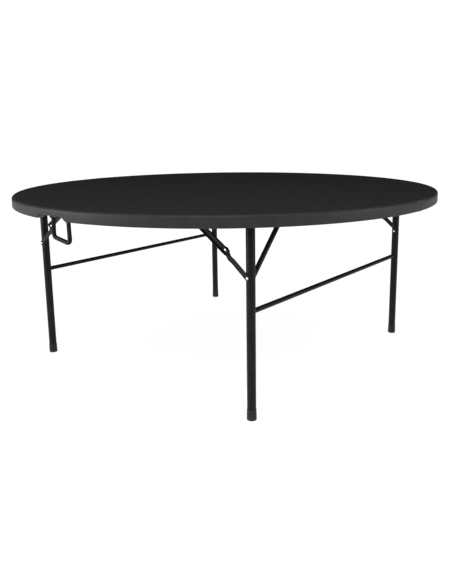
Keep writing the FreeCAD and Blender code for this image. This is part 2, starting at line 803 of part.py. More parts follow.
def export():
    os.makedirs("parts", exist_ok=True)
    for item in nodes:
        item.Shape.exportStep("parts/%s.step" % item.Label)
        print("%-28s %d solids %12.1f mm3" % (item.Label, len(item.Shape.Solids), item.Shape.Volume))


fill_sheet()
half_gap = FreeCAD.Vector(0, -size("seam_gap") / 2, 0)
facing_front = FreeCAD.Placement(half_gap, FreeCAD.Rotation())
facing_back = FreeCAD.Placement(-half_gap, FreeCAD.Rotation(Z_AXIS, HALF_TURN))
top_half("top_half_front", facing_front, True)
top_half("top_half_back", facing_back, False)
seam_joint()
leg_frame("a", FreeCAD.Placement(), {"first": "front", "second": "back"})
half_turn = FreeCAD.Placement(FreeCAD.Vector(), FreeCAD.Rotation(Z_AXIS, HALF_TURN))
leg_frame("b", half_turn, {"first": "back", "second": "front"})
handle()
handle_mount()
check_document()
export()
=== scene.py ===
"""Round folding table with a moulded top in two half-moons and steel tube legs that fold under it.

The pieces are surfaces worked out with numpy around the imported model, which is loaded first.
Lengths are in metres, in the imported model's own frame: Z up, X along the joint of the two halves.
"""

import json
import math

import bmesh
import bpy
import numpy as np
from bpy.props import FloatProperty, FloatVectorProperty, PointerProperty
from mathutils import Matrix, Vector


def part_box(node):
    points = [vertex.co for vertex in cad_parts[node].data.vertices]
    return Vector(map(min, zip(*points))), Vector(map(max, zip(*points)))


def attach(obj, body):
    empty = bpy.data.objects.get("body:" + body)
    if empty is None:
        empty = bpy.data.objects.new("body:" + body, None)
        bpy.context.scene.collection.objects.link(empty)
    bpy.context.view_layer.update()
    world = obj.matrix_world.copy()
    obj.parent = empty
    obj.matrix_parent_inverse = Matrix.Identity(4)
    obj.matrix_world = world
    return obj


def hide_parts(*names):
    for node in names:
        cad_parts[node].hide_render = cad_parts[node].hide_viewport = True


bl_info = {
    "name": "Round Folding Table",
    "version": (1, 0, 0),
    "blender": (4, 5, 0),
    "location": "View3D > Sidebar > Folding Table",
    "description": "Builds the moulded top, leg frames, braces and fittings of a folding table",
    "category": "Add Mesh",
}

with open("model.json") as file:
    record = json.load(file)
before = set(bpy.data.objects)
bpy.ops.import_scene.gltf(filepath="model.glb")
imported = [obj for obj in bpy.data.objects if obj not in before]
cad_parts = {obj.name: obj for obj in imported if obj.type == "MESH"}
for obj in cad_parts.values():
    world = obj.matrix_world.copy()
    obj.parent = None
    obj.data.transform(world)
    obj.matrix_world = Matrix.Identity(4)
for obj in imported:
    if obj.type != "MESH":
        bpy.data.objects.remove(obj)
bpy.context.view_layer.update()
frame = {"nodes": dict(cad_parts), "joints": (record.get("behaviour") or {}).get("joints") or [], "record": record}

FRAMES = ("a", "b")
SIDES = ("front", "back")
X_AXIS = np.array([1.0, 0.0, 0.0])
Y_AXIS = np.array([0.0, 1.0, 0.0])
Z_AXIS = np.array([0.0, 0.0, 1.0])
FULL_TURN = 2 * math.pi


# ------------------------------------------------------------------ what the frame says

def extent(node):
    """Lowest and highest corner of a CAD node as arrays."""
    low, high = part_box(node)
    return np.array(low), np.array(high)


def middle(node):
    low, high = extent(node)
    return (low + high) / 2


def joint_point(name):
    """Where a joint's axis passes, as an array."""
    return np.array([j for j in frame["joints"] if j["name"] == name][0]["pos_m"], float)


def body_of(node):
    bodies = frame["record"]["behaviour"]["bodies"]
    return [body for body, members in bodies.items() if node in members][0]


def slot_of(node):
    subparts = frame["record"]["subparts"]
    return [part["material_slot"] for part in subparts if part["node"] == node][0]


def solids_of(node, reach, with_points=False):
    """Lowest and highest corners of a node's separate solids, which are further apart than reach.

    On request, each solid's points come with them.
    """
    vertices = frame["nodes"][node].data.vertices
    left = np.zeros(len(vertices) * 3)
    vertices.foreach_get("co", left)
    left = left.reshape(-1, 3)
    boxes = []
    while len(left):
        near = np.linalg.norm(left - left[0], axis=1) < reach
        found = (left[near].min(0), left[near].max(0))
        boxes.append(found + (left[near],) if with_points else found)
        left = left[~near]
    return boxes


def outward_of(name):
    """Which way along Y is outward on the front or the back leg: -1 or 1."""
    return -1.0 if name.endswith("front") else 1.0


TOP_LOW, TOP_HIGH = extent("top_half_front")
SHEET_LOW, SHEET_HIGH = extent("seam_plates")
PANEL_UNDERSIDE = SHEET_HIGH[2]
SHEET_THICK = SHEET_HIGH[2] - SHEET_LOW[2]
PIN_RADIUS = 0.003
PIN_HEAD = 0.0022
HANDLE_EYE = 0.008
ROUND_END = 0.999  # how much of a strip's half width its rounded end corners take up


# ------------------------------------------------------------------ sizes and colours

class TopSizes(bpy.types.PropertyGroup):
    """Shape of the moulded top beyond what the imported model's boxes give."""
    rim_width: FloatProperty(
        name="Rim width", description="Thickness of the skirt under the edge",
        default=0.028, unit="LENGTH")
    rim_draft: FloatProperty(
        name="Rim draft", description="How much the skirt's inner face leans",
        default=0.003, unit="LENGTH")
    edge_round: FloatProperty(
        name="Edge round", description="Radius of the upper edge",
        default=0.010, unit="LENGTH")
    lower_round: FloatProperty(
        name="Lower round", description="Radius of the skirt's lower edge",
        default=0.004, unit="LENGTH")
    seam_round: FloatProperty(
        name="Seam round", description="Radius of the edges where the halves meet",
        default=0.0012, unit="LENGTH")
    corner_round: FloatProperty(
        name="Corner round", description="Radius, seen from above, where the rim meets the seam",
        default=0.005, unit="LENGTH")
    notch_mouth: FloatProperty(
        name="Notch mouth", description="Width of the handle notch at the skirt's lower edge",
        default=0.174, unit="LENGTH")
    notch_roof: FloatProperty(
        name="Notch roof", description="Width of the handle notch at its top",
        default=0.124, unit="LENGTH")
    notch_depth: FloatProperty(
        name="Notch depth", description="How far the notch is cut into the skirt",
        default=0.015, unit="LENGTH")
    cell_pitch: FloatProperty(
        name="Cell pitch", description="Spacing of the moulded cells under the panel",
        default=0.066, unit="LENGTH")
    cell_radius: FloatProperty(
        name="Cell radius", description="Radius of each moulded cell",
        default=0.021, unit="LENGTH")
    cell_depth: FloatProperty(
        name="Cell depth", description="Depth of each moulded cell",
        default=0.0055, unit="LENGTH")


class FrameSizes(bpy.types.PropertyGroup):
    """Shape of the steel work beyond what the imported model's boxes give."""
    bead: FloatProperty(
        name="Weld bead", description="Radius of the weld bead where tubes meet",
        default=0.0017, unit="LENGTH")
    stay_run: FloatProperty(
        name="Stay run", description="How far in along the pivot tube the sloping stay ends",
        default=0.182, unit="LENGTH")
    stay_rise: FloatProperty(
        name="Stay rise", description="How far below the pivot tube the stay leaves the leg",
        default=0.198, unit="LENGTH")
    link_half_width: FloatProperty(
        name="Link half width", description="Half the width of the brace links",
        default=0.0095, unit="LENGTH")
    crank_start: FloatVectorProperty(
        name="Crank start", description="Where the crank of a link starts, along it and below it",
        size=2, default=(0.076, 0.006), unit="LENGTH")
    crank_end: FloatVectorProperty(
        name="Crank end", description="Where the crank of a link ends, along it and below it",
        size=2, default=(0.097, 0.011), unit="LENGTH")
    channel_half_width: FloatProperty(
        name="Channel half width", description="Half the width of the brace channels",
        default=0.012, unit="LENGTH")
    channel_lap: FloatProperty(
        name="Channel lap", description="How far a channel reaches past its elbow",
        default=0.018, unit="LENGTH")
    channel_tail: FloatProperty(
        name="Channel tail", description="How far a channel reaches past its pin",
        default=0.012, unit="LENGTH")
    handle_skew: FloatProperty(
        name="Handle skew", description="How much lower the carrying handle hangs at one side",
        default=0.008, unit="LENGTH")
    handle_radius: FloatProperty(
        name="Handle radius", description="Radius of the bar of the carrying handle",
        default=0.0075, unit="LENGTH")
    edge_break: FloatProperty(
        name="Edge break", description="Radius of the edges of the sheet steel pieces",
        default=0.0005, unit="LENGTH")


class FinishColours(bpy.types.PropertyGroup):
    """Base colours of the finishes."""
    polyethylene: FloatVectorProperty(
        name="Polyethylene", description="Moulded top", subtype="COLOR", default=(0.0174, 0.0178, 0.0180))
    powder_coat: FloatVectorProperty(
        name="Powder coat", description="Painted steel tubes and braces", subtype="COLOR",
        default=(0.0070, 0.0073, 0.0074))
    cap_plastic: FloatVectorProperty(
        name="Cap plastic", description="Foot caps and plugs", subtype="COLOR",
        default=(0.0120, 0.0122, 0.0125))
    handle_plastic: FloatVectorProperty(
        name="Handle plastic", description="Carrying handle", subtype="COLOR",
        default=(0.0085, 0.0087, 0.0088))
    zinc: FloatVectorProperty(
        name="Zinc", description="Plated rivets and screws", subtype="COLOR", default=(0.70, 0.71, 0.72))


class TableSettings(bpy.types.PropertyGroup):
    """Everything of the folding table that a user would change."""
    top: PointerProperty(type=TopSizes)
    steel: PointerProperty(type=FrameSizes)
    colours: PointerProperty(type=FinishColours)


# ------------------------------------------------------------------ shader expressions

class Value:
    """A shader number. Arithmetic on it adds Math nodes to its finish."""

    def __init__(self, finish, socket):
        self.finish = finish
        self.socket = socket

    def maths(self, operation, first, second):
        made = self.finish.add("ShaderNodeMath", {"operation": operation}, {0: first, 1: second})
        return Value(self.finish, made.outputs[0])

    def __add__(self, other):
        return self.maths("ADD", self, other)

    def __radd__(self, other):
        return self.maths("ADD", other, self)

    def __sub__(self, other):
        return self.maths("SUBTRACT", self, other)

    def __rsub__(self, other):
        return self.maths("SUBTRACT", other, self)

    def __mul__(self, other):
        return self.maths("MULTIPLY", self, other)

    def __rmul__(self, other):
        return self.maths("MULTIPLY", other, self)


class Finish:
    """A material with a Principled shader, whose patterns read Object coordinates."""

    def __init__(self, name, **steady):
        self.material = bpy.data.materials.new(name)
        self.material.use_nodes = True
        self.tree = self.material.node_tree
        self.shader = self.tree.nodes["Principled BSDF"]
        for socket, value in steady.items():
            self.shader.inputs[socket.replace("_", " ")].default_value = value
        self.place = self.add("ShaderNodeTexCoord", {}, {}).outputs["Object"]

    def add(self, kind, settings, sockets):
        """A node of that kind, with its settings, then the values or links of its sockets."""
        made = self.tree.nodes.new(kind)
        for name, value in settings.items():
            if name == "stops":
                self.set_stops(made.color_ramp, value)
            else:
                setattr(made, name, value)
        for key, value in sockets.items():
            self.feed(made.inputs[key], value)
        return made

    def feed(self, socket, value):
        """Link a value or a socket to an input, or set the input's own number."""
        if isinstance(value, Value):
            value = value.socket
        if isinstance(value, bpy.types.NodeSocket):
            self.tree.links.new(value, socket)
        else:
            socket.default_value = value

    def set_stops(self, ramp, stops):
        for index, (position, shade) in enumerate(stops):
            element = ramp.elements[index] if index < 2 else ramp.elements.new(position)
            element.position = position
            element.color = (shade, shade, shade, 1)

    def noise(self, scale, detail=2.0, stretch=(1, 1, 1)):
        """Fractal noise from 0 to 1; one feature is about 1 / scale metres."""
        mapped = self.add("ShaderNodeMapping", {}, {"Vector": self.place, "Scale": stretch})
        sockets = {"Vector": mapped.outputs[0], "Scale": scale, "Detail": detail}
        return Value(self, self.add("ShaderNodeTexNoise", {}, sockets).outputs[0])

    def pebbles(self, scale):
        """Distance to the nearest of many scattered points, as on a leather-like grain."""
        sockets = {"Vector": self.place, "Scale": scale}
        made = self.add("ShaderNodeTexVoronoi", {"feature": "SMOOTH_F1"}, sockets)
        return Value(self, made.outputs["Distance"])

    def ramp(self, value, *stops):
        """The value taken through straight lines between (position, shade) stops."""
        made = self.add("ShaderNodeValToRGB", {"stops": stops}, {0: value})
        return Value(self, made.outputs[0])

    def height(self):
        """The Z of the surface point."""
        made = self.add("ShaderNodeSeparateXYZ", {}, {0: self.place})
        return Value(self, made.outputs["Z"])

    def blend(self, mask, first, second):
        """The first colour where the mask is 0 and the second where it is 1."""
        sockets = {0: mask, 6: (*first, 1), 7: (*second, 1)}
        return self.add("ShaderNodeMix", {"data_type": "RGBA"}, sockets).outputs[2]

    def colour(self, mask, first, second):
        self.feed(self.shader.inputs["Base Color"], self.blend(mask, first, second))

    def roughness(self, value):
        self.feed(self.shader.inputs["Roughness"], value)

    def bump(self, value, depth, strength=1.0):
        """Raise the surface by the value times depth, in metres."""
        sockets = {"Height": value, "Distance": depth, "Strength": strength}
        made = self.add("ShaderNodeBump", {}, sockets)
        self.feed(self.shader.inputs["Normal"], made.outputs[0])


def shade(colour, factor):
    return tuple(min(1.0, channel * factor) for channel in colour)


def polyethylene(colour):
    """Matt black moulded polyethylene: a fine pebbled grain, faint flow mottling and rub marks."""
    finish = Finish("moulded_polyethylene", Specular_IOR_Level=0.16)
    mottle = finish.noise(26, 3)
    speckle = finish.noise(240, 1)
    rubs = finish.ramp(finish.noise(5, 4, (1, 9, 1)), (0.55, 0), (0.72, 1))
    tone = mottle * 0.55 + speckle * 0.45
    finish.colour(finish.ramp(tone, (0.3, 0), (0.7, 1)), shade(colour, 0.82), shade(colour, 1.2))
    finish.roughness(0.50 + mottle * 0.08 - rubs * 0.05)
    finish.bump(finish.pebbles(620) * 0.6 + finish.noise(1500, 1) * 0.4, 0.00022, 0.7)
    return finish.material


def powder_coat(colour):
    """Black semi-gloss powder coat: orange peel, faint dust and thin spots."""
    finish = Finish("black_powder_coat", Specular_IOR_Level=0.09)
    peel = finish.noise(420, 2)
    dust = finish.ramp(finish.noise(34, 5), (0.5, 0), (0.78, 1))
    finish.colour(dust, colour, shade(colour, 1.7))
    finish.roughness(0.34 + dust * 0.14 + peel * 0.08)
    finish.bump(peel, 0.00016, 0.6)
    return finish.material


def cap_plastic(colour):
    """Black cap plastic, greyer and rougher in the lowest 14 mm, where it stands on the ground."""
    finish = Finish("foot_cap_plastic", Specular_IOR_Level=0.16)
    scuff = finish.ramp(finish.height(), (0.0, 1), (0.014, 0)) * finish.noise(90, 4)
    finish.colour(scuff, colour, shade(colour, 3))
    finish.roughness(0.5 + scuff * 0.3)
    finish.bump(finish.noise(700, 2), 0.00018, 0.6)
    return finish.material


def handle_plastic(colour):
    """Black handle plastic with a satin grain."""
    finish = Finish("handle_plastic", Specular_IOR_Level=0.06)
    grain = finish.noise(900, 2)
    wear = finish.ramp(finish.noise(60, 3), (0.45, 0), (0.75, 1))
    finish.colour(wear, colour, shade(colour, 1.8))
    finish.roughness(0.42 + wear * 0.12)
    finish.bump(grain, 0.00014, 0.5)
    return finish.material


def zinc_plate(colour):
    """Bright zinc plate with a fine tumbled haze."""
    finish = Finish("zinc_plate", Metallic=1.0)
    haze = finish.noise(700, 3)
    finish.colour(haze, shade(colour, 0.72), colour)
    finish.roughness(0.24 + haze * 0.22)
    finish.bump(haze, 0.00008, 0.5)
    return finish.material


# ------------------------------------------------------------------ surfaces

class Skin:
    """Grids of points, gathered into one mesh."""

    def __init__(self):
        self.points = []
        self.quads = []
        self.count = 0

    def add(self, grid, loop_rows=False, loop_columns=False):
        """Take a grid of points, rows by columns by 3, and join neighbours into quads."""
        rows, columns = grid.shape[:2]
        index = np.arange(rows * columns).reshape(rows, columns) + self.count
        if loop_rows:
            index = np.vstack([index, index[:1]])
        if loop_columns:
            index = np.hstack([index, index[:, :1]])
        corners = [index[:-1, :-1], index[1:, :-1], index[1:, 1:], index[:-1, 1:]]
        self.quads.append(np.stack(corners, axis=-1).reshape(-1, 4))
        self.points.append(grid.reshape(-1, 3))
        self.count += rows * columns
        return self

    def capped(self, rows):
        """Add rings of points, closed at both ends by their own middles."""
        first = np.broadcast_to(rows[0].mean(0), rows[0].shape)
        last = np.broadcast_to(rows[-1].mean(0), rows[-1].shape)
        return self.add(np.concatenate([first[None], rows, last[None]]), loop_columns=True)

    def mesh(self, name, closed=True):
        """The mesh, with coincident points welded and, on closed shells, faces turned outward."""
        points = np.concatenate(self.points)
        quads = np.concatenate(self.quads)
        mesh = bpy.data.meshes.new(name)
        mesh.vertices.add(len(points))
        mesh.vertices.foreach_set("co", points.ravel())
        mesh.loops.add(quads.size)
        mesh.loops.foreach_set("vertex_index", quads.ravel())
        mesh.polygons.add(len(quads))
        mesh.polygons.foreach_set("loop_start", np.arange(0, quads.size, 4))
        mesh.update(calc_edges=True)
        worked = bmesh.new()
        worked.from_mesh(mesh)
        bmesh.ops.remove_doubles(worked, verts=worked.verts, dist=1e-6)
        if closed:
            bmesh.ops.recalc_face_normals(worked, faces=worked.faces)
        worked.to_mesh(mesh)
        worked.free()
        return mesh


def make_piece(skin, name, nodes, material, crease=35, thickness=0.0, edge=0.0):
    """Turn a skin into a piece that stands for the CAD nodes and rides on their body.

    A sheet gets its thickness from Solidify, evenly on both sides, and broken edges from Bevel.
    """
    mesh = skin.mesh(name, closed=not thickness)
    piece = bpy.data.objects.new(name, mesh)
    bpy.context.scene.collection.objects.link(piece)
    mesh.materials.append(material)
    mesh.shade_smooth()
    mesh.set_sharp_from_angle(angle=math.radians(crease))
    if thickness:
        solid = piece.modifiers.new("thickness", "SOLIDIFY")
        solid.thickness = thickness
        solid.offset = 0
        soften = piece.modifiers.new("broken_edges", "BEVEL")
        soften.width = edge
        soften.segments = 2
        soften.limit_method = "ANGLE"
        soften.angle_limit = math.radians(50)
    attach(piece, body_of(nodes[0]))
    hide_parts(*nodes)
    slot_of(nodes[0])
    return piece


def unit(vector):
    """The vector at length 1."""
    return vector / np.linalg.norm(vector)


def crosswise(direction):
    """Two unit vectors square to a direction and to each other."""
    helper = Z_AXIS if abs(direction[2]) < 0.9 else X_AXIS
    first = unit(np.cross(direction, helper))
    return first, np.cross(direction, first)


def ring(radius, count=32):
    """Points of a circle, columns across and out."""
    angle = np.arange(count) * FULL_TURN / count
    return radius * np.stack([np.cos(angle), np.sin(angle)], axis=1)


def lathe(profile, origin, direction, count=48):
    """Surface of revolution: each (radius, distance) of the profile becomes a ring about the axis."""
    first, second = crosswise(direction)
    profile = np.array(profile, float)
    circle = ring(1.0, count)
    spokes = circle[:, :1] * first + circle[:, 1:] * second
    along = origin + profile[:, 1, None] * direction
    return along[:, None, :] + profile[:, 0, None, None] * spokes[None]


def straight_tube(start, end, radius, count=40, ease=0.0):
    """Rings of a round bar from start to end, its end edges eased by a quarter round."""
    length = np.linalg.norm(end - start)
    turn = np.linspace(0, math.pi / 2, 4)
    low = np.stack([radius - ease * (1 - np.sin(turn)), ease * (1 - np.cos(turn))], axis=1)
    high = np.stack([low[::-1, 0], length - low[::-1, 1]], axis=1)
    return lathe(np.concatenate([low, high]), start, (end - start) / length, count)


def along_path(section, path, side, closed=False):
    """Carry a section along a path: its first column runs along side, its second square to both."""
    if closed:
        tangent = np.roll(path, -1, axis=0) - np.roll(path, 1, axis=0)
    else:
        tangent = np.gradient(path, axis=0)
    tangent = tangent / np.linalg.norm(tangent, axis=1, keepdims=True)
    side = np.broadcast_to(side, path.shape)
    out = np.cross(tangent, side)
    section = np.broadcast_to(section, (len(path),) + section.shape[-2:])
    across = section[:, :, :1] * side[:, None, :]
    return path[:, None, :] + across + section[:, :, 1:] * out[:, None, :]


def weld_bead(start, direction, radius, axis_point, axis, other_radius, bead):
    """The ring of weld where a tube meets another.

    The tube of that radius starts on the other's axis; each point of the ring is where a line on
    its surface leaves the other's cylinder. The bead's own radius ripples 26 times round the ring.
    """
    first, second = crosswise(direction)
    angle = np.arange(104) * FULL_TURN / 104
    outward = np.cos(angle)[:, None] * first + np.sin(angle)[:, None] * second
    line = start + radius * outward
    offset = line - axis_point
    offset = offset - (offset @ axis)[:, None] * axis
    step = direction - (direction @ axis) * axis
    a = step @ step
    b = 2 * offset @ step
    c = (offset * offset).sum(1) - other_radius ** 2
    travel = (-b + np.sqrt(np.maximum(b * b - 4 * a * c, 0))) / (2 * a)
    path = line + travel[:, None] * direction
    ripple = bead * (1 + 0.13 * np.sin(26 * angle))
    section = ring(1.0, 10)[None] * ripple[:, None, None]
    return along_path(section, path, outward, closed=True)


def rounded_path(corners, radius, pieces=6):
    """A polyline in space whose inner corners are arcs of that radius."""
    corners = [np.array(corner, float) for corner in corners]
    points = [corners[0]]
    for before, corner, after in zip(corners, corners[1:], corners[2:]):
        back = unit(before - corner)
        ahead = unit(after - corner)
        half = math.acos(np.clip(back @ ahead, -1, 1)) / 2
        reach = radius / math.tan(half)
        centre = corner + unit(back + ahead) * radius / math.sin(half)
        first = corner + back * reach - centre
        last = corner + ahead * reach - centre
        span = math.pi - 2 * half
        share = np.linspace(0, 1, pieces + 1)[:, None]
        swing = np.sin((1 - share) * span) * first + np.sin(share * span) * last
        points.extend(centre + swing / math.sin(span))
    points.append(corners[-1])
    return np.array(points)


def distances(path):
    """How far along the path each of its points lies."""
    gaps = np.linalg.norm(np.diff(path[:, :3], axis=0), axis=1)
    return np.concatenate([[0], np.cumsum(gaps)])


def finer(path, step):
    """The same path with extra points, so that none are further apart than step."""
    distance = distances(path)
    wanted = np.unique(np.concatenate([distance, np.arange(0, distance[-1], step)]))
    return np.stack([np.interp(wanted, distance, path[:, k]) for k in range(3)], axis=1)


def end_widths(path, half_width, start_round, end_round):
    """Half widths along a strip whose two ends have corners rounded by those radii."""
    distance = distances(path)
    width = np.full(len(path), half_width)
    for radius, depth in ((start_round, distance), (end_round, distance[-1] - distance)):
        if radius > 0:
            short = np.clip(radius - depth, 0, radius)
            width -= radius - np.sqrt(radius ** 2 - short ** 2)
    return width


def with_round_ends(path, start_round, end_round):
    """The path with close points near its ends, where rounded corners need them.

    Columns after the third are carried along.
    """
    distance = distances(path)
    dense = 1 - np.cos(np.linspace(0, math.pi / 2, 9))
    wanted = [distance]
    if start_round > 0:
        wanted.append(start_round * dense)
    if end_round > 0:
        wanted.append(distance[-1] - end_round * dense)
    wanted = np.unique(np.concatenate(wanted).round(9))
    return np.stack([np.interp(wanted, distance, column) for column in path.T], axis=1)


def ribbon(path, across, half_width, start_round, end_round):
    """A ribbon, half_width to each side of a path, along across, with rounded end corners."""
    width = end_widths(path, half_width, start_round, end_round)
    share = np.linspace(-1, 1, 5)
    across = np.broadcast_to(across, path.shape)
    return path[:, None, :] + (width[:, None] * share[None])[:, :, None] * across[:, None, :]


def strip(path, across, half_width, start_round=0.0, end_round=0.0):
    """A ribbon whose path is given close points where its end corners are rounded."""
    path = with_round_ends(path, start_round, end_round)
    return ribbon(path, across, half_width, start_round, end_round)


def dome(radius, height, count=7):
    """Profile of a rivet head from its edge to its middle: a flattened quarter round."""
    turn = np.linspace(0, math.pi / 2, count)
    lift = height * (0.25 + 0.75 * np.sin(turn) ** 0.8)
    return [(radius, 0.0)] + list(zip(radius * np.cos(turn), lift))


def smooth_step(value, low, high):
    """0 below low, 1 above high and a smooth rise between."""
    share = np.clip((value - low) / (high - low), 0, 1)
    return share * share * (3 - 2 * share)


# ------------------------------------------------------------------ moulded top

def half_outline(radius, corner):
    """Outline of a half disc on the +Y side, with rounded corners.

    Gives its points, outward normals, and a weight that is 1 on the curved edge and falls to 0
    towards the straight one, where the edges are rounded less.
    """
    inset_x = math.sqrt((radius - corner) ** 2 - corner ** 2)
    first = math.asin(corner / (radius - corner))
    angle = np.linspace(first, math.pi - first, 301)
    curved = np.stack([np.cos(angle), np.sin(angle)], axis=1)
    turn = np.linspace(-math.pi / 2, first, 7)[1:-1]
    bend = np.stack([np.cos(turn), np.sin(turn)], axis=1)
    right = np.array([inset_x, corner]) + corner * bend
    left = right[::-1] * (-1, 1)
    straight_x = np.linspace(-inset_x, inset_x, 81)
    straight = np.stack([straight_x, np.zeros(81)], axis=1)
    points = np.concatenate([curved * radius, left, straight, right])
    flat = np.broadcast_to([0.0, -1.0], straight.shape)
    normals = np.concatenate([curved, bend[::-1] * (-1, 1), flat, bend])
    edge_angle = np.minimum(angle - first, math.pi - first - angle)
    weight = np.zeros(len(points))
    weight[:len(angle)] = smooth_step(edge_angle * radius, -0.012, 0.030)
    return points, normals, weight


def cell_lift(x, y, sizes, pads):
    """Height of the moulded cells: a hexagonal lattice of round dishes, left out over the pads."""
    pitch = sizes.cell_pitch
    row = pitch * math.sqrt(3)
    nearest = np.full(x.shape, 1.0)
    for shift_x, shift_y in ((0.0, 0.0), (pitch / 2, row / 2)):
        gap_x = (x - shift_x + pitch / 2) % pitch - pitch / 2
        gap_y = (y - shift_y + row / 2) % row - row / 2
        nearest = np.minimum(nearest, np.hypot(gap_x, gap_y))
    cells = 1 - smooth_step(nearest, sizes.cell_radius * 0.45, sizes.cell_radius)
    for low, high in pads:
        clear = 0.012
        beyond_x = np.maximum(low[0] - clear - x, x - high[0] - clear)
        beyond_y = np.maximum(low[1] - clear - y, y - high[1] - clear)
        cells *= smooth_step(np.maximum(beyond_x, beyond_y), 0, sizes.cell_radius)
    return cells * sizes.cell_depth


def notch_lift(x, sizes):
    """How far the skirt's lower edge is lifted over the handle notch."""
    half = np.abs(x - middle("handle")[0])
    rise = 1 - smooth_step(half, sizes.notch_roof / 2, sizes.notch_mouth / 2)
    return rise * sizes.notch_depth


def shell_of_half(sizes, radius, top, bottom, underside, ceiling, notched):
    """The half's outer skin: top face, rounded rim, skirt, inner wall and a flat ceiling.

    Every row is the outline moved inward by an inset and set at a height. On the top face and on
    the ceiling, which is hidden above the underside of the panel, the rows shrink towards one
    point instead.
    """
    wall = 0.002
    points, normals, weight = half_outline(radius, sizes.corner_round)
    upper = sizes.seam_round + (sizes.edge_round - sizes.seam_round) * weight
    upper = np.where(weight > 0.99, upper, np.minimum(upper, sizes.corner_round))
    lower = sizes.seam_round + (sizes.lower_round - sizes.seam_round) * weight
    skirt = smooth_step(np.hypot(*points.T), radius - sizes.rim_width - sizes.rim_draft,
                        radius - sizes.rim_width)
    lift = notch_lift(-points[:, 0], sizes) * (weight > 0.5) if notched else 0.0
    foot = underside + (bottom + lift - underside) * skirt
    rows = []

    def row(inset, height):
        plan = points - normals * np.broadcast_to(inset, weight.shape)[:, None]
        rows.append(np.column_stack([plan, np.broadcast_to(height, weight.shape)]))

    def shrunk(source, share, height):
        heart = np.array([0.0, radius * 0.4])
        plan = heart + (source[:, :2] - heart) * share
        return np.column_stack([plan, np.full(len(plan), height)])

    quarter = np.linspace(0, math.pi / 2, 9)
    row(upper + 0.004, top)
    for turn in quarter:
        row(upper * (1 - math.sin(turn)), top - upper * (1 - math.cos(turn)))
    for turn in quarter[::2]:
        row(lower * (1 - math.cos(turn)), foot + lower * (1 - math.sin(turn)))
    inner_foot = sizes.rim_width - wall
    reach = weight * (inner_foot - wall) + wall
    row(reach, foot)
    row(reach + 0.0014 * weight, foot + 0.0008 * skirt)
    row(reach + (wall + sizes.rim_draft) * weight, np.maximum(foot, underside))
    upper_rows = [shrunk(rows[0], share, top) for share in (0, 0.3, 0.6, 0.8, 0.92)]
    under_rows = [shrunk(rows[-1], share, ceiling) for share in (0.92, 0.6, 0.3, 0)]
    return np.array(upper_rows + rows + under_rows)


def ceiling_of_half(sizes, radius, ceiling, thick, pads, turned):
    """A slab under the panel whose lower face holds the moulded cells.

    The slab's plan is a half disc swept by rows parallel to Y: at each X it runs from the seam to
    the circle. Its lower face is lifted by the cells.
    """
    across = np.linspace(-1, 1, 300)
    deep = np.linspace(0, 1, 150)
    x = radius * np.sin(across * math.pi / 2)[:, None] * np.ones(len(deep))
    y = np.sqrt(np.maximum(radius ** 2 - x ** 2, 0)) * deep
    real_x, real_y = (-x, -y) if turned else (x, y)
    low = np.stack([x, y, ceiling + cell_lift(real_x, real_y, sizes, pads)], axis=-1)
    high = np.stack([x, y, np.full(x.shape, ceiling + thick)], axis=-1)
    wall = [np.stack([low[:, k], high[:, k]]) for k in (0, -1)]
    return low, high, wall


def top_half(sizes, side, material):
    """One half-moon. The front half is the back one turned half a turn, with the notch added."""
    node = "top_half_" + side
    turned = side == "front"
    radius = TOP_HIGH[0]
    top = TOP_HIGH[2]
    seam = -TOP_HIGH[1]
    slab = 0.0075
    pads = [(SHEET_LOW, SHEET_HIGH), extent("handle_bracket")]
    for name in frame["nodes"]:
        if name.startswith(("saddle_a_", "saddle_b_", "brace_bracket_")):
            pads.append(extent(name))
    ceiling = PANEL_UNDERSIDE + slab + 0.001
    shell = shell_of_half(sizes, radius, top, TOP_LOW[2], PANEL_UNDERSIDE, ceiling, turned)
    inner = radius - sizes.rim_width - sizes.rim_draft + 0.001
    low, high, walls = ceiling_of_half(sizes, inner, PANEL_UNDERSIDE, slab, pads, turned)
    facing = np.array([-1, -1, 1]) if turned else np.array([1, 1, 1])
    offset = np.array([0, -seam if turned else seam, 0])
    skin = Skin().add(shell * facing + offset, loop_columns=True)
    for grid in (low, high, *walls):
        skin.add(grid * facing + offset)
    return make_piece(skin, node + "_moulding", [node], material, crease=40)


# ------------------------------------------------------------------ leg frames

def leg_axis(name):
    """Foot and top of a leg's centre line."""
    low, high = extent("leg_" + name)
    centre = (low + high) / 2
    return np.array([centre[0], centre[1], low[2]]), np.array([centre[0], centre[1], high[2]])


def half_size(node, axis):
    low, high = extent(node)
    return (high[axis] - low[axis]) / 2


def leg_tube(name, material):
    """A leg: a round tube whose upper edge is eased."""
    start, end = leg_axis(name)
    skin = Skin().capped(straight_tube(start, end, half_size("leg_" + name, 0), 56, 0.0006))
    return make_piece(skin, "leg_%s_tube" % name, ["leg_" + name], material)


def cross_tube(node, which, bead, material):
    """A tube between the two legs of a frame, with a ring of weld at each end."""
    front, _ = leg_axis(which + "_front")
    back, _ = leg_axis(which + "_back")
    centre = middle(node)
    radius = half_size(node, 0)
    leg_radius = half_size("leg_%s_front" % which, 0)
    start = np.array([centre[0], front[1] + leg_radius - 0.004, centre[2]])
    end = np.array([centre[0], back[1] - leg_radius + 0.004, centre[2]])
    skin = Skin().capped(straight_tube(start, end, radius, 40))
    for leg, direction in ((front, Y_AXIS), (back, -Y_AXIS)):
        origin = np.array([leg[0], leg[1], centre[2]])
        ring_of_weld = weld_bead(origin, direction, radius, leg, Z_AXIS, leg_radius, bead)
        skin.add(ring_of_weld, loop_rows=True, loop_columns=True)
    return make_piece(skin, node + "_welded", [node], material, crease=60)


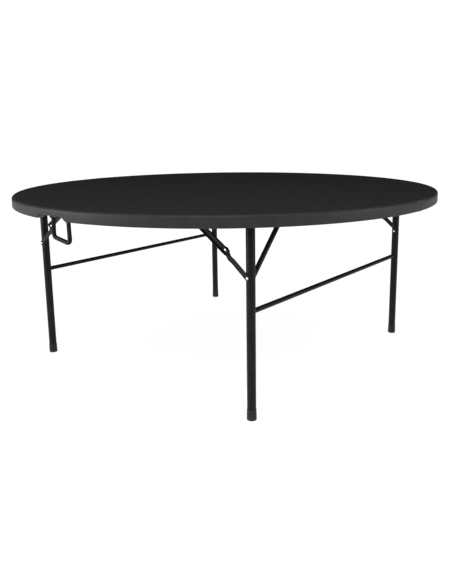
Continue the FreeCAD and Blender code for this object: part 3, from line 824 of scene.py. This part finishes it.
def stay_rod(which, steel, material):
    """The sloping tube of a frame, from the leg that its box touches up to the pivot tube."""
    node = "stay_rod_" + which
    pivot = middle("pivot_tube_" + which)
    inward = 1.0 if middle(node)[1] < pivot[1] else -1.0
    leg, _ = leg_axis(which + ("_front" if inward > 0 else "_back"))
    start = np.array([leg[0], leg[1], pivot[2] - steel.stay_rise])
    end = np.array([leg[0], leg[1] + inward * steel.stay_run, pivot[2]])
    direction = unit(end - start)
    radius = half_size(node, 0)
    leg_radius = half_size("leg_%s_front" % which, 0)
    pivot_radius = half_size("pivot_tube_" + which, 0)
    skin = Skin().capped(straight_tube(start + direction * 0.014, end - direction * 0.006, radius))
    lower = weld_bead(start, direction, radius, leg, Z_AXIS, leg_radius, steel.bead)
    upper = weld_bead(end, -direction, radius, pivot, Y_AXIS, pivot_radius, steel.bead)
    for grid in (lower, upper):
        skin.add(grid, loop_rows=True, loop_columns=True)
    return make_piece(skin, node + "_welded", [node], material, crease=60)


def foot_cap(name, material):
    """A moulded cup: a rounded foot, a slightly tapered wall with two grip rings, and a lip."""
    node = "foot_cap_" + name
    low, high = extent(node)
    radius = (high[0] - low[0]) / 2
    tall = high[2] - low[2]
    edge = 0.0022
    ring_depth = 0.00035
    ring_width = 0.0009
    turn = np.linspace(0, math.pi / 2, 7)
    foot = np.stack([radius - edge + edge * np.sin(turn), edge * (1 - np.cos(turn))], axis=1)
    height = np.linspace(0.004, tall - edge, 60)
    rings = ring_depth * np.exp(-((height - tall * 0.70) / ring_width) ** 2)
    rings += ring_depth * np.exp(-((height - tall * 0.80) / ring_width) ** 2)
    wall = np.stack([radius - 0.0006 * height / tall - rings, height], axis=1)
    lip = [(radius - 0.0009, tall - 0.0010), (radius - 0.0014, tall - 0.0002), (radius - edge, tall)]
    tread = [(0, 0.0006), (radius * 0.55, 0.0006), (radius * 0.62, 0), (radius - edge, 0)]
    profile = np.concatenate([tread, foot, wall, lip, [(0, tall)]])
    origin = np.array([(low[0] + high[0]) / 2, (low[1] + high[1]) / 2, low[2]])
    skin = Skin().add(lathe(profile, origin, Z_AXIS, 64), loop_columns=True)
    return make_piece(skin, node + "_cup", [node], material, crease=50)


def leg_plugs(which, material):
    """Domed plugs in the tops of a frame's legs."""
    node = "leg_plugs_" + which
    skin = Skin()
    for low, high in solids_of(node, 0.1):
        radius = (high[0] - low[0]) / 2
        tall = high[2] - low[2]
        flange = extent("leg_%s_front" % which)[1][2] - low[2]
        spigot = radius - 0.0015
        turn = np.linspace(0, math.pi / 2, 8)
        rise = flange + (tall - flange) * (0.3 + 0.7 * np.sin(turn))
        crown = np.stack([radius * np.cos(turn), rise], axis=1)
        profile = np.concatenate([[(0, 0), (spigot, 0), (spigot, flange), (radius, flange)], crown])
        origin = np.array([(low[0] + high[0]) / 2, (low[1] + high[1]) / 2, low[2]])
        skin.add(lathe(profile, origin, Z_AXIS), loop_columns=True)
    return make_piece(skin, node + "_domed", [node], material, crease=50)


# ------------------------------------------------------------------ saddles and brackets

def saddle(name, edge, material):
    """A strap bent round the underside of the pivot tube, with an ear on each side."""
    node = "saddle_" + name
    low, high = extent(node)
    pivot = middle("pivot_tube_" + name[0])
    flat = high[2] - SHEET_THICK / 2
    bend = pivot[2] - low[2] - SHEET_THICK / 2
    corners = [(low[0], 0, flat), (pivot[0] - bend, 0, flat), (pivot[0] - bend, 0, pivot[2])]
    left = rounded_path(corners, 0.0035)
    turn = np.linspace(math.pi, FULL_TURN, 25)[1:-1]
    cradle = np.stack([pivot[0] + bend * np.cos(turn), 0 * turn, pivot[2] + bend * np.sin(turn)], axis=1)
    right = left[::-1] * (-1, 1, 1) + np.array([2 * pivot[0], 0, 0])
    path = np.concatenate([left, cradle, right])
    path[:, 1] = (low[1] + high[1]) / 2
    skin = Skin().add(strip(path, Y_AXIS, (high[1] - low[1]) / 2, 0.006, 0.006))
    return make_piece(skin, node + "_strap", [node], material, 30, SHEET_THICK, edge)


def brace_bracket(name, edge, material):
    """An angle of sheet steel: an ear with a round end for the pin, and a foot under the panel."""
    node = "brace_bracket_" + name
    low, high = extent(node)
    outward = outward_of(name)
    near = (high[1] if outward < 0 else low[1]) + outward * SHEET_THICK / 2
    far = low[1] if outward < 0 else high[1]
    middle_x = (low[0] + high[0]) / 2
    half_width = (high[0] - low[0]) / 2
    corners = [(middle_x, near, low[2]), (middle_x, near, high[2] - SHEET_THICK / 2),
               (middle_x, far, high[2] - SHEET_THICK / 2)]
    path = finer(rounded_path(corners, 0.003), 0.006)
    skin = Skin().add(strip(path, X_AXIS, half_width, half_width * ROUND_END, 0.004))
    return make_piece(skin, node + "_angle", [node], material, 30, SHEET_THICK, edge)


def seam_plates(edge, material):
    """Flat plates with rounded corners across the joint of the halves."""
    skin = Skin()
    for low, high in solids_of("seam_plates", 0.2):
        centre = (low + high) / 2
        path = np.array([(low[0], centre[1], centre[2]), (high[0], centre[1], centre[2])])
        skin.add(strip(path, Y_AXIS, (high[1] - low[1]) / 2, 0.008, 0.008))
    return make_piece(skin, "seam_plates_flat", ["seam_plates"], material, 30, high[2] - low[2], edge)


# ------------------------------------------------------------------ folding braces

def brace_points(name):
    """Leg rivet, elbow and bracket pin of a brace."""
    elbow = middle("elbow_rivet_" + name)
    return joint_point("link_%s_turn" % name), elbow, joint_point("channel_%s_turn" % name)


def slope_axes(start, end):
    """Unit vectors along and above the line from start to end, in the XZ plane."""
    along = unit((end - start) * (1, 0, 1))
    above = np.cross(along, Y_AXIS)
    return along, above * np.sign(above[2])


def brace_link(name, steel, material):
    """The lower bar: a flat strip with round ends and a crank of two soft bends."""
    node = "brace_link_" + name
    rivet, elbow, _ = brace_points(name)
    along, above = slope_axes(rivet, elbow)
    low, high = extent(node)
    base = np.array([rivet[0], (low[1] + high[1]) / 2, rivet[2]])
    length = (elbow - rivet) @ along
    half = steel.link_half_width
    corners = [(0.0, 0.0), steel.crank_start, steel.crank_end, (length, 0.0)]
    corners = [base + x * along - y * above for x, y in corners]
    corners[0] = corners[0] - unit(corners[1] - corners[0]) * half
    corners[3] = corners[3] + unit(corners[3] - corners[2]) * half
    soft_bend = 0.016
    end_round = half * ROUND_END
    path = finer(rounded_path(corners, soft_bend), 0.004)
    ahead = np.gradient(path, axis=0)
    ahead = ahead / np.linalg.norm(ahead, axis=1, keepdims=True)
    both = with_round_ends(np.concatenate([path, ahead], axis=1), end_round, end_round)
    across = np.cross(both[:, 3:], Y_AXIS)
    skin = Skin().add(ribbon(both[:, :3], across, half, end_round, end_round))
    return make_piece(skin, node + "_bar", [node], material, 30, high[1] - low[1], steel.edge_break)


def brace_channel(name, steel, material):
    """The upper bar: a channel open outward, its flanges tapered at the pin end.

    The web and flanges are one ribbon: across it runs a U with rounded corners, along it runs the
    brace, and near its ends the flanges grow shallower.
    """
    node = "brace_channel_" + name
    _, elbow, pin = brace_points(name)
    along, above = slope_axes(elbow, pin)
    low, high = extent(node)
    outward = outward_of(name)
    web_thick = 0.002
    near = high[1] if outward < 0 else low[1]
    deep = high[1] - low[1]
    half_width = steel.channel_half_width - web_thick / 2
    length = (pin - elbow) @ along
    turns = np.linspace(0, math.pi / 2, 6)
    bend = 0.0022
    corner = np.stack([bend * (1 - np.sin(turns)), half_width - bend * (1 - np.cos(turns))], axis=1)
    depths = np.linspace(deep - web_thick / 2, bend, 5)[:-1]
    flange = np.stack([depths, np.full(4, half_width)], axis=1)
    upper = np.concatenate([flange, corner])
    profile = np.concatenate([upper, [(0.0, 0.0)], upper[::-1] * (1, -1)])
    start = -steel.channel_lap
    end = length + steel.channel_tail
    distance = np.concatenate([
        np.linspace(start, start + 0.008, 5),
        np.linspace(0, length - 0.02, 12),
        np.linspace(length - 0.012, end, 10),
    ])
    shallow = 1 - 0.55 * smooth_step(distance, length - 0.012, end)
    shallow *= 1 - 0.35 * (1 - smooth_step(distance, start, start + 0.008))
    base = np.array([elbow[0], near + outward * web_thick / 2, elbow[2]])
    line = base + distance[:, None] * along
    grid = line[:, None, :] + profile[None, :, 1:] * above
    grid = grid + (shallow[:, None] * profile[None, :, 0])[:, :, None] * (outward * Y_AXIS)
    skin = Skin().add(grid)
    return make_piece(skin, node + "_pressed", [node], material, 30, web_thick, steel.edge_break)


def pin_solid(skin, low, high, outward, tail_radius):
    """A pin along Y inside the given box: a shank, a domed head outward and any tail inward."""
    centre = (low + high) / 2
    radius = (high[0] - low[0]) / 2
    tall = high[1] - low[1]
    tail = 0.0012
    start = np.array([centre[0], low[1] if outward > 0 else high[1], centre[2]])
    profile = [(0, 0), (PIN_RADIUS, 0)]
    if tail_radius > PIN_RADIUS * 1.2:
        profile = [(0, 0), (tail_radius * 0.8, 0), (tail_radius, tail * 0.6), (tail_radius, tail)]
        profile.append((PIN_RADIUS, tail))
    profile.append((PIN_RADIUS, tall - PIN_HEAD))
    profile += [(r, tall - PIN_HEAD + lift) for r, lift in dome(radius, PIN_HEAD)]
    skin.add(lathe(profile, start, outward * Y_AXIS, 36), loop_columns=True)


def pins_of(node, reach, material):
    """Every pin of a CAD node, as one piece."""
    skin = Skin()
    for low, high, points in solids_of(node, reach, with_points=True):
        outward = -1.0 if low[1] < 0 else 1.0
        inner = high[1] if outward < 0 else low[1]
        at_end = points[np.abs(points[:, 1] - inner) < 1e-5] - (low + high) / 2
        pin_solid(skin, low, high, outward, np.hypot(at_end[:, 0], at_end[:, 2]).max())
    return make_piece(skin, node + "_headed", [node], material, crease=50)


def elbow_stud(name, material):
    """The link's half of the elbow rivet: a shank and a washer with a rolled edge."""
    node = "elbow_stud_" + name
    low, high = extent(node)
    outward = outward_of(name)
    centre = (low + high) / 2
    radius = (high[0] - low[0]) / 2
    tall = high[1] - low[1]
    washer = 0.0024
    start = np.array([centre[0], low[1] if outward > 0 else high[1], centre[2]])
    rolled = 0.0005
    rim = radius - 0.0004
    profile = [(0, 0), (PIN_RADIUS, 0), (PIN_RADIUS, tall - washer), (rim, tall - washer),
               (radius, tall - washer + rolled), (radius, tall - rolled), (rim, tall), (0, tall)]
    skin = Skin().add(lathe(profile, start, outward * Y_AXIS, 40), loop_columns=True)
    return make_piece(skin, node + "_washer", [node], material, crease=40)


# ------------------------------------------------------------------ screws

def screw(skin, low, high):
    """A pan-head screw pointing up, its head a low dome with a cross pressed into it.

    The head is a polar grid: at each radius and angle the surface stands at the dome's height
    less the depth of the cross, which is cut where the point is near either of two lines.
    """
    centre = np.array([(low[0] + high[0]) / 2, (low[1] + high[1]) / 2, low[2]])
    radius = (high[0] - low[0]) / 2
    head = 0.0025
    crown = 0.55
    cross_depth = 0.0012
    angle = np.arange(32) * FULL_TURN / 32
    reach = np.array([0, 0.15, 0.3, 0.42, 0.55, 0.7, 0.85, 0.95, 1.0]) * radius
    x = reach[:, None] * np.cos(angle)
    y = reach[:, None] * np.sin(angle)
    rise = head * crown * np.sqrt(np.maximum(1 - (reach / radius) ** 2, 0))[:, None]
    arm = np.minimum(np.abs(x), np.abs(y))
    cross = (1 - smooth_step(arm, 0.0004, 0.0009)) * (1 - smooth_step(np.hypot(x, y), 0.0020, 0.0027))
    z = head * crown - rise + cross * cross_depth
    cap = np.stack([x, y, z], axis=-1)
    rest = lathe([(radius, head), (0.002, head), (0.002, high[2] - low[2] - 0.004), (0, high[2] - low[2])],
                 np.zeros(3), Z_AXIS, 32)
    first, second = crosswise(Z_AXIS)
    cap = cap[..., :1] * first + cap[..., 1:2] * second + cap[..., 2:] * Z_AXIS
    skin.add(np.concatenate([cap, rest]) + centre, loop_columns=True)


def screws_of(node, material):
    skin = Skin()
    for low, high in solids_of(node, 0.022):
        screw(skin, low, high)
    return make_piece(skin, node + "_driven", [node], material, crease=35)


# ------------------------------------------------------------------ carrying handle

def handle_section(count=28):
    """A squared circle: |x| ** 2.6 + |y| ** 2.6 = 1."""
    circle = ring(1.0, count)
    return np.sign(circle) * np.abs(circle) ** (2 / 2.6)


def carrying_handle(skew, radius, material):
    """A moulded U that hangs from two eyes.

    Its section is a squared circle carried round the U, a little thicker at the grip. The arms
    spread slightly on the way down, and the soft plastic hangs lower on one side by the skew.
    """
    low, high = extent("handle")
    pivot = joint_point("handle_swing")
    centre = (low[0] + high[0]) / 2
    half = (high[0] - low[0]) / 2 - radius
    spread = half + 0.003
    bottom = low[2] + radius
    corners = [
        (centre - half, pivot[1], pivot[2] - 0.002),
        (centre - spread, pivot[1], bottom + skew),
        (centre + spread, pivot[1], bottom - skew),
        (centre + half, pivot[1], pivot[2] - 0.002),
    ]
    path = finer(rounded_path(corners, 0.014, 12), 0.004)
    share = np.clip((pivot[2] - path[:, 2]) / (pivot[2] - bottom), 0, 1)
    thickness = radius * (0.92 + 0.08 * share ** 4)
    section = handle_section()[None] * thickness[:, None, None]
    skin = Skin().capped(along_path(section, path, Y_AXIS))
    for side in (-1, 1):
        start = np.array([centre + side * half - radius, pivot[1], pivot[2]])
        skin.capped(straight_tube(start, start + 2 * radius * X_AXIS, HANDLE_EYE, 36, 0.0012))
    return make_piece(skin, "handle_moulded", ["handle"], material, crease=45)


def handle_bracket(edge, material):
    """The plate under the panel and its two round-ended ears."""
    low, high = extent("handle_bracket")
    handle_low, handle_high = extent("handle")
    pivot = joint_point("handle_swing")
    flat = high[2] - SHEET_THICK / 2
    plate_y = (low[1] + high[1]) / 2
    path = np.array([(low[0], plate_y, flat), (high[0], plate_y, flat)])
    skin = Skin().add(strip(path, Y_AXIS, (high[1] - low[1]) / 2, 0.006, 0.006))
    beside = 0.0015 + SHEET_THICK / 2
    for x in (handle_low[0] - beside, handle_high[0] + beside):
        ear = np.array([(x, pivot[1], low[2]), (x, pivot[1], flat)])
        skin.add(strip(finer(ear, 0.003), Y_AXIS, HANDLE_EYE, HANDLE_EYE - 0.00001))
    return make_piece(skin, "handle_bracket_folded", ["handle_bracket"], material, 30, SHEET_THICK, edge)


def handle_pins(material):
    """Two short pins with domed heads outside the ears."""
    skin = Skin()
    for low, high in solids_of("handle_pins", 0.06):
        outward = 1.0 if low[0] > joint_point("handle_swing")[0] else -1.0
        centre = (low + high) / 2
        proud = 0.0006
        start = np.array([low[0] if outward > 0 else high[0], centre[1], centre[2]])
        start[0] -= outward * proud
        length = high[0] - low[0] + proud
        profile = [(0, 0), (PIN_RADIUS, 0), (PIN_RADIUS, length - PIN_HEAD)]
        profile += [(r, length - PIN_HEAD + lift) for r, lift in dome(0.005, PIN_HEAD)]
        skin.add(lathe(profile, start, outward * X_AXIS, 32), loop_columns=True)
    return make_piece(skin, "handle_pins_headed", ["handle_pins"], material, crease=50)


# ------------------------------------------------------------------ stage

CAMERA_SPOT = (1.7381, -2.0614, 0.9966)
CAMERA_HEADING = math.radians(38.694)
CAMERA_DOWN = math.radians(10.798)
CAMERA_ROLL = math.radians(-0.580)
CAMERA_LENS = 36.524
CAMERA_SHIFT = (-0.02736, -0.08564)


def make_camera():
    camera = bpy.data.objects.new("camera", bpy.data.cameras.new("camera"))
    bpy.context.scene.collection.objects.link(camera)
    heading = Matrix.Rotation(CAMERA_HEADING, 4, "Z")
    tilt = Matrix.Rotation(math.pi / 2 - CAMERA_DOWN, 4, "X")
    roll = Matrix.Rotation(CAMERA_ROLL, 4, "Z")
    camera.matrix_world = Matrix.Translation(CAMERA_SPOT) @ heading @ tilt @ roll
    camera.data.sensor_fit = "AUTO"
    camera.data.sensor_width = 36
    camera.data.lens = CAMERA_LENS
    camera.data.shift_x, camera.data.shift_y = CAMERA_SHIFT
    camera.data.clip_end = 200
    bpy.context.scene.camera = camera


def softbox(name, spot, aim, size, watts, colour):
    """A rectangular area light at spot, facing aim."""
    light = bpy.data.lights.new(name, "AREA")
    light.shape = "RECTANGLE"
    light.size, light.size_y = size
    light.energy = watts
    light.color = colour
    lamp = bpy.data.objects.new(name, light)
    bpy.context.scene.collection.objects.link(lamp)
    direction = Vector(aim) - Vector(spot)
    lamp.location = spot
    lamp.rotation_euler = direction.to_track_quat("-Z", "Y").to_euler()
    return lamp


def make_floor():
    """A large plain white floor that is faintly lit from within, so that shadows on it stay soft."""
    half = 30.0
    grid = np.array([[(-half, -half, 0), (half, -half, 0)], [(-half, half, 0), (half, half, 0)]], float)
    mesh = Skin().add(grid).mesh("floor", closed=False)
    floor = bpy.data.objects.new("floor", mesh)
    bpy.context.scene.collection.objects.link(floor)
    finish = Finish("white_floor", Roughness=0.9, Specular_IOR_Level=0.0, Emission_Strength=0.86)
    finish.shader.inputs["Base Color"].default_value = (0.18, 0.18, 0.18, 1)
    finish.shader.inputs["Emission Color"].default_value = (1, 1, 1, 1)
    mesh.materials.append(finish.material)


def make_world():
    """A plain white surround that gives soft even light and isn't mirrored in the table."""
    world = bpy.data.worlds.new("white_surround")
    bpy.context.scene.world = world
    world.use_nodes = True
    back = world.node_tree.nodes["Background"]
    back.inputs["Color"].default_value = (1, 1, 1, 1)
    back.inputs["Strength"].default_value = 1.0
    world.cycles_visibility.glossy = False


# ------------------------------------------------------------------ operators

class TableOperator(bpy.types.Operator):
    """Shared by the table's operators."""
    bl_options = {"REGISTER", "UNDO"}

    def execute(self, context):
        self.build(context.scene.folding_table)
        return {"FINISHED"}


def finish_named(name, maker, *facts):
    """A finish made once and then shared."""
    return bpy.data.materials.get(name) or maker(*facts)


def painted(settings):
    return finish_named("black_powder_coat", powder_coat, tuple(settings.colours.powder_coat))


def plated(settings):
    return finish_named("zinc_plate", zinc_plate, tuple(settings.colours.zinc))


def capped_plastic(settings):
    return finish_named("foot_cap_plastic", cap_plastic, tuple(settings.colours.cap_plastic))


class TABLE_OT_stage(TableOperator):
    """Make the camera, the floor, the surround and the soft lights"""
    bl_idname = "folding_table.stage"
    bl_label = "Stage"

    def build(self, settings):
        make_camera()
        make_floor()
        make_world()
        bpy.context.scene.view_settings.view_transform = "Standard"
        softbox("left_softbox", (-2.9, -4.4, 1.5), (0, 0, 0.6), (3.4, 1.6), 260, (0.94, 0.97, 1.0))
        softbox("right_softbox", (4.6, 1.2, 1.7), (0, 0, 0.6), (2.0, 1.6), 105, (0.97, 1.0, 0.98))
        softbox("front_softbox", (1.0, -1.7, 2.9), (0.4, -0.6, 0.7), (1.6, 1.6), 45, (1.0, 1.0, 1.0))


class TABLE_OT_top(TableOperator):
    """Mould the two half-moons of the top"""
    bl_idname = "folding_table.top"
    bl_label = "Top halves"

    def build(self, settings):
        material = polyethylene(tuple(settings.colours.polyethylene))
        for side in SIDES:
            top_half(settings.top, side, material)


class TABLE_OT_leg_frames(TableOperator):
    """Weld the tubes of the two leg frames"""
    bl_idname = "folding_table.leg_frames"
    bl_label = "Leg frames"

    def build(self, settings):
        material = painted(settings)
        for which in FRAMES:
            for node in ("crossbar_" + which, "pivot_tube_" + which):
                cross_tube(node, which, settings.steel.bead, material)
            stay_rod(which, settings.steel, material)
            for side in SIDES:
                leg_tube("%s_%s" % (which, side), material)


class TABLE_OT_leg_ends(TableOperator):
    """Put the caps on the feet and the plugs in the tops of the legs"""
    bl_idname = "folding_table.leg_ends"
    bl_label = "Foot caps and plugs"

    def build(self, settings):
        material = capped_plastic(settings)
        for which in FRAMES:
            leg_plugs(which, material)
            for side in SIDES:
                foot_cap("%s_%s" % (which, side), material)


class TABLE_OT_mountings(TableOperator):
    """Bend the saddles, brackets and seam plates under the panel"""
    bl_idname = "folding_table.mountings"
    bl_label = "Saddles, brackets and plates"

    def build(self, settings):
        material = painted(settings)
        edge = settings.steel.edge_break
        seam_plates(edge, material)
        for which in FRAMES:
            for side in SIDES:
                saddle("%s_%s" % (which, side), edge, material)
                brace_bracket("%s_%s" % (which, side), edge, material)


class TABLE_OT_braces(TableOperator):
    """Make the links and channels of the four folding braces"""
    bl_idname = "folding_table.braces"
    bl_label = "Folding braces"

    def build(self, settings):
        material = painted(settings)
        for which in FRAMES:
            for side in SIDES:
                brace_link("%s_%s" % (which, side), settings.steel, material)
                brace_channel("%s_%s" % (which, side), settings.steel, material)


class TABLE_OT_rivets(TableOperator):
    """Set the rivets and pins of the braces"""
    bl_idname = "folding_table.rivets"
    bl_label = "Rivets and pins"

    def build(self, settings):
        material = plated(settings)
        for which in FRAMES:
            pins_of("leg_rivets_" + which, 0.1, material)
            pins_of("bracket_pins_" + which, 0.1, material)
            for side in SIDES:
                pins_of("elbow_rivet_%s_%s" % (which, side), 0.1, material)
                elbow_stud("%s_%s" % (which, side), material)


class TABLE_OT_screws(TableOperator):
    """Drive the screws under the panel"""
    bl_idname = "folding_table.screws"
    bl_label = "Screws"

    def build(self, settings):
        material = plated(settings)
        names = ["seam_screws", "handle_screws"]
        names += [kind + which for kind in ("saddle_screws_", "bracket_screws_") for which in FRAMES]
        for name in names:
            screws_of(name, material)


class TABLE_OT_handle(TableOperator):
    """Hang the carrying handle in its bracket"""
    bl_idname = "folding_table.handle"
    bl_label = "Carrying handle"

    def build(self, settings):
        plastic = handle_plastic(tuple(settings.colours.handle_plastic))
        carrying_handle(settings.steel.handle_skew, settings.steel.handle_radius, plastic)
        handle_bracket(settings.steel.edge_break, painted(settings))
        handle_pins(plated(settings))


class TABLE_PT_panel(bpy.types.Panel):
    """Sizes, colours and building steps of the folding table"""
    bl_idname = "TABLE_PT_panel"
    bl_label = "Folding Table"
    bl_space_type = "VIEW_3D"
    bl_region_type = "UI"
    bl_category = "Folding Table"

    def draw(self, context):
        settings = context.scene.folding_table
        for group in (settings.top, settings.steel, settings.colours):
            box = self.layout.box()
            for name in group.bl_rna.properties.keys():
                if name not in ("rna_type", "name"):
                    box.prop(group, name)
        for operator in OPERATORS:
            self.layout.operator(operator.bl_idname)


OPERATORS = (
    TABLE_OT_stage,
    TABLE_OT_top,
    TABLE_OT_leg_frames,
    TABLE_OT_leg_ends,
    TABLE_OT_mountings,
    TABLE_OT_braces,
    TABLE_OT_rivets,
    TABLE_OT_screws,
    TABLE_OT_handle,
)
CLASSES = (TopSizes, FrameSizes, FinishColours, TableSettings) + OPERATORS + (TABLE_PT_panel,)


def register():
    for item in CLASSES:
        bpy.utils.register_class(item)
    bpy.types.Scene.folding_table = PointerProperty(type=TableSettings)


def unregister():
    del bpy.types.Scene.folding_table
    for item in reversed(CLASSES):
        bpy.utils.unregister_class(item)


def main():
    """Build everything in order."""
    register()
    for operator in OPERATORS:
        group, name = operator.bl_idname.split(".")
        getattr(getattr(bpy.ops, group), name)()


if __name__ == "__main__":
    main()
